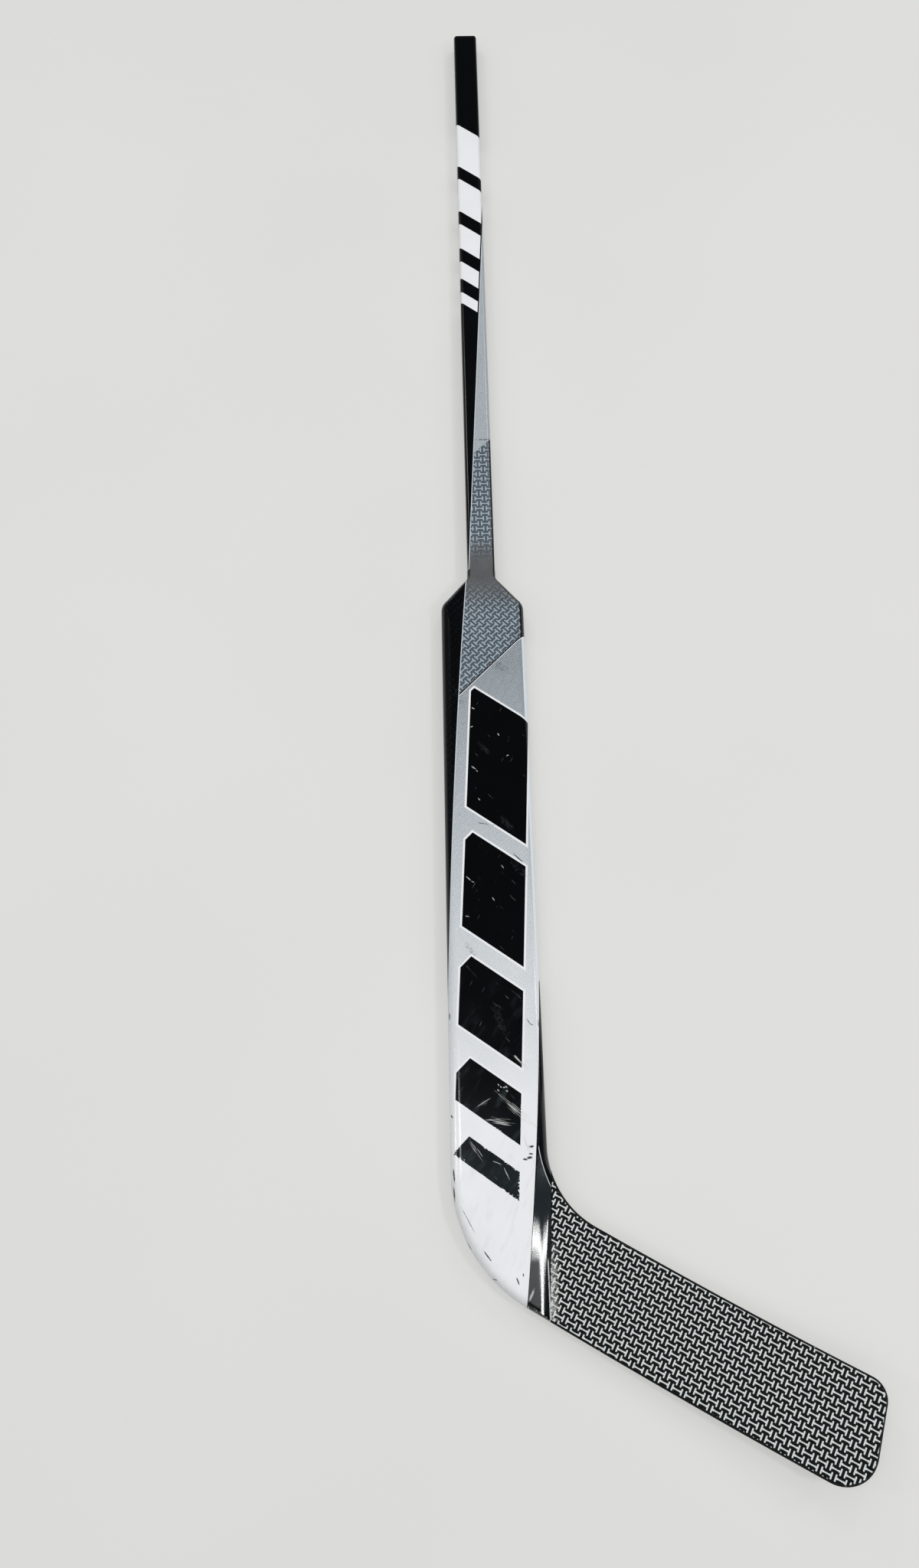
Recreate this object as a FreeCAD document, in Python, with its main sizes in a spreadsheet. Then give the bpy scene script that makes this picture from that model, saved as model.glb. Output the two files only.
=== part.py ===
import FreeCAD, Part
import math
import os
import Sketcher
from FreeCAD import Placement, Rotation, Vector

# Hockey goalie stick, lying on the back of its paddle: the shaft runs along +Y, the blade points to +X and
# the playing side faces up. Millimetres. The origin is the middle of the paddle's back face.

SIZES = [
    ("shaft_width", 30, "shaft, across its face"),
    ("shaft_thickness", 20, "shaft, front to back"),
    ("shaft_corner", 4, "radius of the shaft's long corners"),
    ("shaft_wall", 2.2, "wall of the shaft tube"),
    ("shaft_length", 838, "from the neck of the paddle to the butt end"),
    ("butt_cap", 6, "part of the butt plug that shows"),
    ("butt_round", 4, "rounding of the butt end"),
    ("butt_stem", 40, "part of the butt plug inside the tube"),
    ("tenon_depth", 140, "how far the shaft tube runs into the paddle"),
    ("tenon_plug", 25, "plug in the lower end of the tube"),
    ("paddle_width", 89, "paddle, edge to edge"),
    ("paddle_length", 695, "from the neck to the heel corner"),
    ("shell_wall", 2, "wall of the paddle shells"),
    ("edge_round", 10, "rounding of the paddle's edges"),
    ("shoulder_length", 32, "height of the sloping shoulders"),
    ("shoulder_round", 15, "rounding of the shoulder corners"),
    ("neck_lip", 0.4, "thickness of the shells where they run out on the shaft"),
    ("neck_ramp", 60, "length over which the shells thin out to the lip"),
    ("neck_collar", 10, "how far the lip laps up the shaft past the neck"),
    ("neck_round", 8.5, "hollow sweep from the shaft into the shoulder"),
    ("neck_edge_round", 7.5, "rounding of the shells' edges at the neck"),
    ("rail_width", 9, "edge rails inside the paddle"),
    ("web_width", 4, "rib on the paddle's centre line"),
    ("heel_block", 110, "height of the heel block above the heel corner"),
    ("heel_round", 130, "sweep of the heel"),
    ("crook_round", 80, "sweep from the paddle's edge into the blade's top edge"),
    ("wrap_start", 171, "start of the twill wrap above the heel corner"),
    ("wrap_lean", 6.5, "lean of the wrap's crease, degrees"),
    ("wrap_ply", 0.8, "thickness of the wrap at its end on the blade"),
    ("wrap_reach", 1.2, "how far the wrap runs past the paddle's edge line at the crook"),
    ("step_lean", 3, "lean of the wrap's end on the blade, degrees"),
    ("wrap_blend", 90, "length over which the paddle's edge thins to the blade"),
    ("blade_angle", 30.1, "fall of the blade's lower edge from square to the shaft, degrees"),
    ("blade_length", 390, "from the heel corner to the toe"),
    ("blade_height", 88.3, "blade at the heel"),
    ("toe_height", 91.2, "blade at the toe"),
    ("toe_lean", 18, "how far the toe's foot stands out past its top"),
    ("toe_top_round", 18, "upper corner of the toe"),
    ("toe_foot_round", 30, "lower corner of the toe"),
    ("rocker", 6, "how far the blade bows up at the toe"),
    ("rocker_start", 110, "where the blade's edges begin to bow, from the heel corner"),
    ("heel_thickness", 11, "blade where it leaves the heel"),
    ("toe_thickness", 8, "blade at the toe"),
    ("curve_start", 140, "where the blade begins to curve, from the heel corner"),
    ("toe_lift", 20, "how far the toe curves forward"),
    ("blade_bevel", 2, "bevel of the blade's edges"),
    ("blade_skin", 1, "skins of the blade"),
    ("band_width", 5, "edge band of the blade"),
    ("rib_width", 4, "rib along the middle of the blade"),
    ("tongue_width", 46, "tongue between the heel block and the blade"),
    ("tongue_in_heel", 45, "length of the tongue in the heel block"),
    ("tongue_in_blade", 70, "length of the tongue in the blade"),
    ("round_share", 0.45, "greatest part of a thickness that one rounding takes"),
    ("least_round", 0.5, "smallest rounding of an inner corner"),
]

doc = FreeCAD.newDocument("goalie_stick")
sheet = doc.addObject("Spreadsheet::Sheet", "Sizes")
for row, (alias, number, note) in enumerate(SIZES, start=1):
    sheet.set(f"A{row}", note)
    sheet.set(f"B{row}", str(number))
    sheet.setAlias(f"B{row}", alias)
doc.recompute()


def value(expression):
    return float(sheet.evalExpression(expression))


# Places on the stick, as expressions of the sizes

thickness = "(Sizes.shaft_thickness + 2 * Sizes.shell_wall)"
middle = f"({thickness} / 2)"
half_width = "(Sizes.paddle_width / 2)"
half_shaft = "(Sizes.shaft_width / 2)"
neck_y = "(Sizes.paddle_length / 2)"
heel_y = "(-Sizes.paddle_length / 2)"
butt_y = f"({neck_y} + Sizes.shaft_length)"
cap_y = f"({butt_y} - Sizes.butt_cap)"
tenon_y = f"({neck_y} - Sizes.tenon_depth)"
block_y = f"({heel_y} + Sizes.heel_block)"
rail_x = f"({half_width} - Sizes.shell_wall - Sizes.rail_width)"
far_x = f"({half_width} + Sizes.crook_round)"
below_y = f"({heel_y} - Sizes.blade_length)"
clear = "(4 * Sizes.paddle_width)"
wide = "(2 * Sizes.blade_length)"

# The blade's own axes start at the heel corner: u along its lower edge, n square to it in plan
sine = "sin(Sizes.blade_angle * 1 deg)"
cosine = "cos(Sizes.blade_angle * 1 deg)"
top_slope = "((Sizes.toe_height - Sizes.blade_height) / (Sizes.blade_length - Sizes.toe_lean))"
toe_slant = "sqrt(1 + (Sizes.toe_lean / Sizes.toe_height) ^ 2)"


def crook_u(inset):
    reach = f"(Sizes.paddle_width - {inset} - (Sizes.blade_height - {inset}) * {sine})"
    return f"({reach} / ({cosine} + {top_slope} * {sine}))"


def crook_n(inset):
    return f"(Sizes.blade_height - {inset} + {top_slope} * {crook_u(inset)})"


def plan_y(u, n):
    return f"({heel_y} - {u} * {sine} + {n} * {cosine})"


def lower_edge_y(x, inset):
    return f"({heel_y} + ({inset} - ({x} + {half_width}) * {sine}) / {cosine})"


def upper_edge_y(x, inset):
    height = f"(Sizes.blade_height - {inset})"
    u = f"(({x} + {half_width} - {height} * {sine}) / ({cosine} + {top_slope} * {sine}))"
    return plan_y(u, f"({height} + {top_slope} * {u})")


crook_y = plan_y(crook_u("0"), crook_n("0"))


def crease_x(y):
    """Line where the paddle's flat face ends and the wrap's ramp begins."""
    return f"({half_width} - ({heel_y} + Sizes.wrap_start - {y}) * tan(Sizes.wrap_lean * 1 deg))"


def step_x(y):
    """Line where the wrap ends on the blade."""
    return f"({half_width} + Sizes.wrap_reach - ({crook_y} - {y}) * tan(Sizes.step_lean * 1 deg))"


# Sketches and bodies

def pin(sketch, line, end, x, y):
    for axis, expression in (("X", x), ("Y", y)):
        datum = Sketcher.Constraint("Distance" + axis, -1, 1, line, end, value(expression))
        index = sketch.addConstraint(datum)
        name = f"line{line}end{end}{axis}"
        sketch.renameConstraint(index, name)
        sketch.setExpression("Constraints." + name, expression)


def draw_polygon(sketch, corners):
    points = [Vector(value(x), value(y), 0) for x, y in corners]
    count = len(points)
    for i in range(count):
        sketch.addGeometry(Part.LineSegment(points[i], points[(i + 1) % count]))
    for i in range(count):
        sketch.addConstraint(Sketcher.Constraint("Coincident", i, 2, (i + 1) % count, 1))
    for i, (x, y) in enumerate(corners):
        pin(sketch, i, 1, x, y)


def new_sketch(body, name, plane):
    sketch = body.newObject("Sketcher::SketchObject", name)
    support = next(item for item in body.Origin.OriginFeatures if item.Role == plane)
    sketch.AttachmentSupport = [(support, "")]
    sketch.MapMode = "FlatFace"
    return sketch


def set_sizes(item, **expressions):
    for prop, expression in expressions.items():
        item.setExpression(prop.replace("__", "."), expression)


def on_blade_axes(item):
    item.Placement = Placement(Vector(), Rotation(Vector(0, 0, -1), value("Sizes.blade_angle")))
    set_sizes(
        item,
        Placement__Base__x=f"-{half_width}",
        Placement__Base__y=heel_y,
        Placement__Rotation__Angle="Sizes.blade_angle * 1 deg",
    )


def new_body(name):
    return doc.addObject("PartDesign::Body", name)


def add_pad(body, sketch, length, midplane=False):
    pad = body.newObject("PartDesign::Pad", sketch.Name + "_pad")
    pad.Profile = sketch
    pad.Midplane = midplane
    set_sizes(pad, Length=length)
    doc.recompute()
    return pad


def add_fillet(body, edges, radius):
    base = body.Tip
    fillet = body.newObject("PartDesign::Fillet", body.Name + "_round")
    fillet.Base = (base, edges)
    set_sizes(fillet, Radius=radius)
    doc.recompute()
    return fillet


NEAR = 1e-4


def upright_edge(body, x, y):
    """Name of the upright edge that stands at x, y in the body's own axes."""
    shape = body.Tip.Shape
    for i, edge in enumerate(shape.Edges, start=1):
        ends = [vertex.Point for vertex in edge.Vertexes]
        at_place = all(abs(p.x - x) < NEAR and abs(p.y - y) < NEAR for p in ends)
        if len(ends) == 2 and at_place:
            return f"Edge{i}"
    raise ValueError(f"{body.Name} has no upright edge at {x:.2f}, {y:.2f}")


def round_corner(body, x, y, radius):
    add_fillet(body, [upright_edge(body, value(x), value(y))], radius)


def block(name, x, y, z):
    """A box between two expressions on each axis."""
    box = doc.addObject("Part::Box", name)
    set_sizes(
        box,
        Length=f"{x[1]} - {x[0]}",
        Width=f"{y[1]} - {y[0]}",
        Height=f"{z[1]} - {z[0]}",
        Placement__Base__x=x[0],
        Placement__Base__y=y[0],
        Placement__Base__z=z[0],
    )
    return box


def cut(name, base, tool):
    item = doc.addObject("Part::Cut", name)
    item.Base = base
    item.Tool = tool
    return item


def common(name, base, tool):
    item = doc.addObject("Part::Common", name)
    item.Base = base
    item.Tool = tool
    return item


# Shaft

def rounded_bar(name, width, depth, corner, start, end):
    """A bar along Y, centred on the shaft's axis, with its four long corners rounded."""
    body = new_body(name)
    sketch = new_sketch(body, name + "_section", "XZ_Plane")
    half, low, high = f"{width} / 2", f"{middle} - {depth} / 2", f"{middle} + {depth} / 2"
    draw_polygon(sketch, [(f"-{half}", low), (half, low), (half, high), (f"-{half}", high)])
    pad = add_pad(body, sketch, f"{end} - {start}")
    pad.Reversed = True
    set_sizes(body, Placement__Base__y=start)
    doc.recompute()
    long_edges = [
        f"Edge{i}"
        for i, edge in enumerate(pad.Shape.Edges, start=1)
        if abs(edge.tangentAt(edge.FirstParameter).y) > 1 - NEAR
    ]
    add_fillet(body, long_edges, corner)
    return body


def end_edges(body, y):
    """Edges of the body's end face at y in its own axes."""
    return [
        f"Edge{i}"
        for i, edge in enumerate(body.Tip.Shape.Edges, start=1)
        if abs(edge.BoundBox.YMin - y) < NEAR and abs(edge.BoundBox.YMax - y) < NEAR
    ]


bore_width = "(Sizes.shaft_width - 2 * Sizes.shaft_wall)"
bore_depth = "(Sizes.shaft_thickness - 2 * Sizes.shaft_wall)"
bore_corner = "max(Sizes.shaft_corner - Sizes.shaft_wall; Sizes.least_round)"
shaft_section = ("Sizes.shaft_width", "Sizes.shaft_thickness", "Sizes.shaft_corner")
bore_section = (bore_width, bore_depth, bore_corner)

shaft_form = rounded_bar("shaft_form", *shaft_section, tenon_y, cap_y)
shaft_bore = rounded_bar("shaft_bore", *bore_section, tenon_y, cap_y)
shaft_tube = cut("shaft_tube", shaft_form, shaft_bore)
tenon_plug = rounded_bar("tenon_plug", *bore_section, tenon_y, f"({tenon_y} + Sizes.tenon_plug)")
butt_head = rounded_bar("butt_head", *shaft_section, cap_y, butt_y)
butt_edges = end_edges(butt_head, value("Sizes.butt_cap"))
add_fillet(butt_head, butt_edges, "min(Sizes.butt_round; Sizes.butt_cap - Sizes.least_round)")
butt_stem = rounded_bar("butt_stem", *bore_section, f"({cap_y} - Sizes.butt_stem)", cap_y)
butt_plug = doc.addObject("Part::Fuse", "butt_plug")
butt_plug.Base = butt_head
butt_plug.Tool = butt_stem

# Paddle: one outline drawn twice, for the outside and for the room inside the shells

shoulder_slope = f"(Sizes.shoulder_length / ({half_width} - {half_shaft} - Sizes.neck_lip))"
shoulder_slant = f"sqrt(1 + {shoulder_slope} ^ 2)"
edge_limit = f"min(Sizes.round_share * {thickness}; Sizes.shoulder_round - Sizes.least_round)"
edge_radius = f"min(Sizes.edge_round; {edge_limit})"
neck_radius = f"min(Sizes.neck_edge_round; {edge_limit})"


def shoulder_y(x, inset):
    start = f"({neck_y} - {inset} * {shoulder_slant})"
    return f"({start} - ({x} - {half_shaft} - Sizes.neck_lip) * {shoulder_slope})"


def paddle_plan(name, inset, neck_half, collar):
    """The paddle's outline, in from the edge by the inset, with its corners rounded."""
    body = new_body(name)
    sketch = new_sketch(body, name + "_outline", "XY_Plane")
    side = f"({half_width} - {inset})"
    neck = shoulder_y(neck_half, inset)
    top = f"({neck} + {collar})"
    shoulder = shoulder_y(side, inset)
    crook = plan_y(crook_u(inset), crook_n(inset))
    heel = lower_edge_y(f"-{side}", inset)
    draw_polygon(
        sketch,
        [
            (f"-{neck_half}", top),
            (f"-{neck_half}", neck),
            (f"-{side}", shoulder),
            (f"-{side}", heel),
            (far_x, lower_edge_y(far_x, inset)),
            (far_x, upper_edge_y(far_x, inset)),
            (side, crook),
            (side, shoulder),
            (neck_half, neck),
            (neck_half, top),
        ],
    )
    add_pad(body, sketch, f"{thickness} - 2 * {inset}")
    set_sizes(body, Placement__Base__z=inset)
    for x in (f"-{side}", side):
        round_corner(body, x, shoulder, f"Sizes.shoulder_round - {inset}")
    for x in (f"-{neck_half}", neck_half):
        round_corner(body, x, neck, f"Sizes.neck_round + {inset}")
    round_corner(body, f"-{side}", heel, f"Sizes.heel_round - {inset}")
    round_corner(body, side, crook, f"Sizes.crook_round + {inset}")
    return body


def rim_edges(shape):
    """Edges round the two faces of a paddle outline, with their numbers, but not at its two open ends."""
    box = shape.BoundBox
    for i, edge in enumerate(shape.Edges, start=1):
        span = edge.BoundBox
        on_face = span.ZLength < NEAR
        on_neck = span.YMin > box.YMax - NEAR
        on_end = span.XMin > box.XMax - NEAR
        if on_face and not on_neck and not on_end:
            yield i, edge


def round_rim(name, body):
    """Round both rims. The rounding grows along the shoulders, from the neck's to the sides'."""
    along_shoulder = value(f"{neck_y} - Sizes.shoulder_length / 2")
    at_neck, at_side = value(neck_radius), value(edge_radius)
    edges = []
    for i, edge in rim_edges(body.Shape):
        ends = [edge.valueAt(edge.FirstParameter), edge.valueAt(edge.LastParameter)]
        edges.append((i, *[at_neck if end.y > along_shoulder else at_side for end in ends]))
    fillet = doc.addObject("Part::Fillet", name)
    fillet.Base = body
    fillet.Edges = edges
    return fillet


def bevel_rim(name, body):
    """Bevel both rims of the room inside, to keep the wall even behind the rounding outside."""
    leg = value(f"max({edge_radius} - Sizes.shell_wall; Sizes.least_round) * (2 - sqrt(2))")
    chamfer = doc.addObject("Part::Chamfer", name)
    chamfer.Base = body
    chamfer.Edges = [(i, leg, leg) for i, edge in rim_edges(body.Shape)]
    return chamfer


def ramp_section(name, y, crease_z, step_z, front):
    """Section of the room above the ramp (front) or below it, square to the shaft."""
    sketch = doc.addObject("Sketcher::SketchObject", name)
    sketch.Placement = Placement(Vector(), Rotation(Vector(1, 0, 0), 90))
    set_sizes(sketch, Placement__Base__y=y)
    away = f"({thickness} + {clear})" if front else f"-{clear}"
    crease = crease_x(y)
    corners = [(crease, crease_z), (step_x(y), step_z), (far_x, step_z), (far_x, away), (crease, away)]
    draw_polygon(sketch, corners)
    return sketch


def ramp_room(name, crease_inset, step_inset, front):
    """Room taken off the heel, where the paddle thins from its face to the blade."""
    side = "+" if front else "-"
    half_blade = "Sizes.heel_thickness / 2"
    face = f"({middle} {side} ({middle} - {crease_inset}))"
    step = f"({middle} {side} ({half_blade} + Sizes.wrap_ply - {step_inset}))"
    sections = [
        ramp_section(name + "_start", f"({crook_y} + Sizes.wrap_blend)", face, face, front),
        ramp_section(name + "_crook", crook_y, face, step, front),
        ramp_section(name + "_end", below_y, face, step, front),
    ]
    loft = doc.addObject("Part::Loft", name)
    loft.Sections = sections
    loft.Solid = True
    loft.Ruled = True
    return loft


def neck_room(name, front):
    """Room taken off the paddle's face towards the neck, so that the shell runs out on the shaft."""
    body = new_body(name)
    sketch = new_sketch(body, name + "_side", "YZ_Plane")
    side = "+" if front else "-"
    lip = f"({middle} {side} (Sizes.shaft_thickness / 2 + Sizes.neck_lip))"
    face = f"({middle} {side} {middle})"
    ramp_y = f"({neck_y} - Sizes.neck_ramp)"
    draw_polygon(sketch, [(ramp_y, face), (neck_y, lip), (butt_y, lip), (butt_y, face)])
    add_pad(body, sketch, clear, midplane=True)
    return body


def without(name, base, tools):
    """The base less each tool in turn."""
    for i, tool in enumerate(tools):
        base = cut(f"{name}_{i}", base, tool)
    return base


def upright(name, corners):
    """A tall solid of a plan outline, above and below the stick."""
    body = new_body(name)
    sketch = new_sketch(body, name + "_outline", "XY_Plane")
    draw_polygon(sketch, corners)
    add_pad(body, sketch, f"2 * {clear}", midplane=True)
    return body


step_line = [(step_x(below_y), below_y), (step_x(butt_y), butt_y)]
before_step = upright("before_step", [(f"-{clear}", below_y), *step_line, (f"-{clear}", butt_y)])
past_step = upright("past_step", [*step_line, (wide, butt_y), (wide, below_y)])
front_half = block("front_half", (f"-{clear}", far_x), (below_y, butt_y), (middle, clear))
back_half = block("back_half", (f"-{clear}", far_x), (below_y, butt_y), (f"-{clear}", middle))

outer_plan = paddle_plan("outer_plan", "0", f"({half_shaft} + Sizes.neck_lip)", "Sizes.neck_collar")
inner_plan = paddle_plan("inner_plan", "Sizes.shell_wall", half_shaft, "Sizes.neck_collar")
paddle_outside = round_rim("paddle_outside", outer_plan)
paddle_inside = bevel_rim("paddle_inside", inner_plan)

outer_rooms = [
    ramp_room("front_ramp", "0", "0", True),
    ramp_room("back_ramp", "0", "0", False),
    neck_room("front_neck", True),
    neck_room("back_neck", False),
]
inner_rooms = [
    ramp_room("front_inner_ramp", "Sizes.shell_wall", "Sizes.wrap_ply", True),
    ramp_room("back_inner_ramp", "Sizes.shell_wall", "Sizes.wrap_ply", False),
]
paddle_skin = without("paddle_skin", common("paddle_solid", paddle_outside, before_step), outer_rooms)
paddle_room = without("paddle_room", common("paddle_inner_solid", paddle_inside, before_step), inner_rooms)
paddle_wall = without("paddle_wall", paddle_skin, [paddle_room, shaft_form])

wrap_top = f"({heel_y} + Sizes.wrap_start)"
crease_line = [(crease_x(wrap_top), wrap_top), (crease_x(below_y), below_y)]
wrap_side = upright("wrap_side", [*crease_line, (far_x, below_y), (far_x, wrap_top)])

front_wall = common("front_wall", paddle_wall, front_half)
back_wall = common("back_wall", paddle_wall, back_half)
paddle_front_shell = cut("paddle_front_shell", front_wall, wrap_side)
paddle_back_shell = cut("paddle_back_shell", back_wall, wrap_side)
heel_front_wrap = common("heel_front_wrap", front_wall, wrap_side)
heel_back_wrap = common("heel_back_wrap", back_wall, wrap_side)

# Blade: the plan outline, and the rooms in front of and behind its curved faces

def tangent_arc(start, angle, end):
    """Arc from start to end that leaves start at the angle."""
    chord = end - start
    half_turn = (math.atan2(chord.y, chord.x) - angle) / 2
    reach = chord.Length / (2 * math.cos(half_turn))
    way = Vector(math.cos(angle + half_turn), math.sin(angle + half_turn), 0)
    return Part.Arc(start, start + way * reach, end)


def bow(u):
    return f"(Sizes.rocker * (({u} - Sizes.rocker_start) / (Sizes.blade_length - Sizes.rocker_start)) ^ 2)"


def blade_plan(name, inset):
    """Upright solid of the blade's outline, in from the edge by the inset."""
    body = new_body(name)
    sketch = new_sketch(body, name + "_outline", "XY_Plane")
    foot_u = f"(Sizes.blade_length - {inset} * (Sizes.toe_lean / Sizes.toe_height + {toe_slant}))"
    peak_n = f"(Sizes.toe_height - {inset})"
    peak_u = f"(Sizes.blade_length - Sizes.toe_lean * {peak_n} / Sizes.toe_height - {inset} * {toe_slant})"
    start = "Sizes.rocker_start"
    heel = ("0", inset)
    low = (start, inset)
    foot = (foot_u, f"({inset} + {bow(foot_u)})")
    peak = (peak_u, f"({peak_n} + {bow(peak_u)})")
    top = (start, f"(Sizes.blade_height - {inset} + {top_slope} * {start})")
    bend = (crook_u(inset), crook_n(inset))
    rise = (f"({bend[0]} - Sizes.crook_round * {sine})", f"({bend[1]} + Sizes.crook_round * {cosine})")
    places = [Vector(value(x), value(y), 0) for x, y in (heel, low, foot, peak, top, bend, rise)]
    at_heel, at_low, at_foot, at_peak, at_top, at_bend, at_rise = places
    sketch.addGeometry(Part.LineSegment(at_heel, at_low))
    sketch.addGeometry(tangent_arc(at_low, 0, at_foot))
    sketch.addGeometry(Part.LineSegment(at_foot, at_peak))
    sketch.addGeometry(tangent_arc(at_top, math.atan(value(top_slope)), at_peak))
    sketch.addGeometry(Part.LineSegment(at_top, at_bend))
    sketch.addGeometry(Part.LineSegment(at_bend, at_rise))
    sketch.addGeometry(Part.LineSegment(at_rise, at_heel))
    sketch.addConstraint(Sketcher.Constraint("Tangent", 0, 2, 1, 1))
    sketch.addConstraint(Sketcher.Constraint("Coincident", 1, 2, 2, 1))
    sketch.addConstraint(Sketcher.Constraint("Coincident", 2, 2, 3, 2))
    sketch.addConstraint(Sketcher.Constraint("Tangent", 3, 1, 4, 1))
    for line in (4, 5):
        sketch.addConstraint(Sketcher.Constraint("Coincident", line, 2, line + 1, 1))
    sketch.addConstraint(Sketcher.Constraint("Coincident", 6, 2, 0, 1))
    pin(sketch, 0, 1, *heel)
    pin(sketch, 0, 2, *low)
    pin(sketch, 2, 1, *foot)
    pin(sketch, 2, 2, *peak)
    pin(sketch, 4, 1, *top)
    pin(sketch, 4, 2, *bend)
    pin(sketch, 5, 2, *rise)
    add_pad(body, sketch, clear)
    round_corner(body, *foot, f"Sizes.toe_foot_round - {inset}")
    round_corner(body, *peak, f"Sizes.toe_top_round - {inset}")
    round_corner(body, *bend, f"Sizes.crook_round + {inset}")
    on_blade_axes(body)
    return body


def draw_face_room(sketch, inset, front):
    """Side view of the room beyond one face of the blade: flat at the heel, then one arc up to the toe."""
    side = "+" if front else "-"
    flat_z = f"({middle} {side} (Sizes.heel_thickness / 2 - {inset}))"
    toe_z = f"({middle} + Sizes.toe_lift {side} (Sizes.toe_thickness / 2 - {inset}))"
    away = clear if front else f"-{clear}"
    behind = f"-{wide}"
    start = Vector(value("Sizes.curve_start"), value(flat_z), 0)
    end = Vector(value("Sizes.blade_length"), value(toe_z), 0)
    back = Vector(value(behind), value(flat_z), 0)
    back_away = Vector(value(behind), value(away), 0)
    end_away = Vector(end.x, value(away), 0)
    sketch.addGeometry(Part.LineSegment(back, start))
    sketch.addGeometry(tangent_arc(start, 0, end))
    sketch.addGeometry(Part.LineSegment(end, end_away))
    sketch.addGeometry(Part.LineSegment(end_away, back_away))
    sketch.addGeometry(Part.LineSegment(back_away, back))
    sketch.addConstraint(Sketcher.Constraint("Tangent", 0, 2, 1, 1))
    sketch.addConstraint(Sketcher.Constraint("Coincident", 1, 2, 2, 1))
    for line in (2, 3):
        sketch.addConstraint(Sketcher.Constraint("Coincident", line, 2, line + 1, 1))
    sketch.addConstraint(Sketcher.Constraint("Coincident", 4, 2, 0, 1))
    pin(sketch, 0, 1, behind, flat_z)
    pin(sketch, 0, 2, "Sizes.curve_start", flat_z)
    pin(sketch, 2, 1, "Sizes.blade_length", toe_z)
    pin(sketch, 3, 1, "Sizes.blade_length", away)
    pin(sketch, 4, 1, behind, away)


def face_room(name, inset, front):
    body = new_body(name)
    sketch = new_sketch(body, name + "_side", "XZ_Plane")
    draw_face_room(sketch, inset, front)
    add_pad(body, sketch, f"2 * {wide}", midplane=True)
    on_blade_axes(body)
    return body


def carve_face(body, front):
    """Pocket away the room beyond one face of the blade."""
    sketch = new_sketch(body, f"{body.Name}_{'front' if front else 'back'}", "XZ_Plane")
    draw_face_room(sketch, "0", front)
    pocket = body.newObject("PartDesign::Pocket", sketch.Name + "_pocket")
    pocket.Profile = sketch
    pocket.Midplane = True
    set_sizes(pocket, Length=f"2 * {wide}")
    doc.recompute()


def blade_form():
    """The whole blade with its bevelled edges."""
    body = blade_plan("blade_outside", "0")
    carve_face(body, True)
    carve_face(body, False)
    heel_end = value(f"{crook_u('0')} - Sizes.crook_round * {sine}")
    rim = []
    for i, edge in enumerate(body.Tip.Shape.Edges, start=1):
        halfway = edge.valueAt((edge.FirstParameter + edge.LastParameter) / 2)
        stands = edge.BoundBox.XLength < NEAR and edge.BoundBox.YLength < NEAR
        on_heel_end = halfway.x < heel_end and halfway.y > NEAR
        across = len(edge.Vertexes) == 2 and abs(edge.Vertexes[0].X - edge.Vertexes[1].X) < NEAR
        if not stands and not on_heel_end and not across:
            rim.append(f"Edge{i}")
    thinnest = "min(Sizes.toe_thickness; Sizes.heel_thickness)"
    sharp = body.Tip
    bevel = body.newObject("PartDesign::Chamfer", body.Name + "_bevel")
    bevel.Base = (sharp, rim)
    set_sizes(bevel, Size=f"min(Sizes.blade_bevel; Sizes.round_share * {thinnest})")
    doc.recompute()
    return body


def blade_block(name, u, n):
    """Upright block in the blade's own axes."""
    body = new_body(name)
    sketch = new_sketch(body, name + "_outline", "XY_Plane")
    draw_polygon(sketch, [(u[0], n[0]), (u[1], n[0]), (u[1], n[1]), (u[0], n[1])])
    add_pad(body, sketch, clear)
    on_blade_axes(body)
    return body


blade_solid = common("blade_solid", blade_form(), past_step)
band_inside = blade_plan("band_inside", "Sizes.band_width")
front_room = face_room("front_room", "Sizes.blade_skin", True)
back_room = face_room("back_room", "Sizes.blade_skin", False)

blade_edge_band = cut("blade_edge_band", blade_solid, band_inside)
blade_filling = common("blade_filling", blade_solid, band_inside)
blade_front_skin = common("blade_front_skin", blade_filling, front_room)
blade_back_skin = common("blade_back_skin", blade_filling, back_room)
blade_room = without("blade_room", blade_filling, [front_room, back_room])

half_height = "(Sizes.blade_height / 2)"
step_u = f"(({step_x(crook_y)} + {half_width} - {half_height} * {sine}) / {cosine})"
tongue_end = f"({step_u} + Sizes.tongue_in_blade)"
tongue_n = (f"({half_height} - Sizes.tongue_width / 2)", f"({half_height} + Sizes.tongue_width / 2)")
rib_n = (f"({half_height} - Sizes.rib_width / 2)", f"({half_height} + Sizes.rib_width / 2)")

tongue_block = blade_block("tongue_block", (f"({step_u} - Sizes.tongue_in_heel)", tongue_end), tongue_n)
rib_block = blade_block("rib_block", (tongue_end, "Sizes.blade_length"), rib_n)
upper_block = blade_block("upper_block", (f"-{wide}", "Sizes.blade_length"), (half_height, wide))
blade_tongue = without("tongue_cut", tongue_block, [front_room, back_room])
blade_tongue.Label = "blade_tongue"
blade_rib = common("blade_rib", blade_room, rib_block)
blade_cores = without("blade_cores", blade_room, [blade_tongue, rib_block])
blade_upper_core = common("blade_upper_core", blade_cores, upper_block)
blade_lower_core = cut("blade_lower_core", blade_cores, upper_block)

# Inside of the paddle, from the heel up

depth = ("0", thickness)
above_block = (block_y, neck_y)
heel_space = block("heel_space", (f"-{half_width}", far_x), (below_y, block_y), depth)
left_edge = block("left_edge", (f"-{half_width}", f"-{rail_x}"), above_block, depth)
right_edge = block("right_edge", (rail_x, half_width), above_block, depth)
left_space = block("left_space", (f"-{rail_x}", "0"), above_block, depth)
right_space = block("right_space", ("0", rail_x), above_block, depth)
web_space = block("web_space", ("-Sizes.web_width / 2", "Sizes.web_width / 2"), (block_y, tenon_y), depth)

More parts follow.
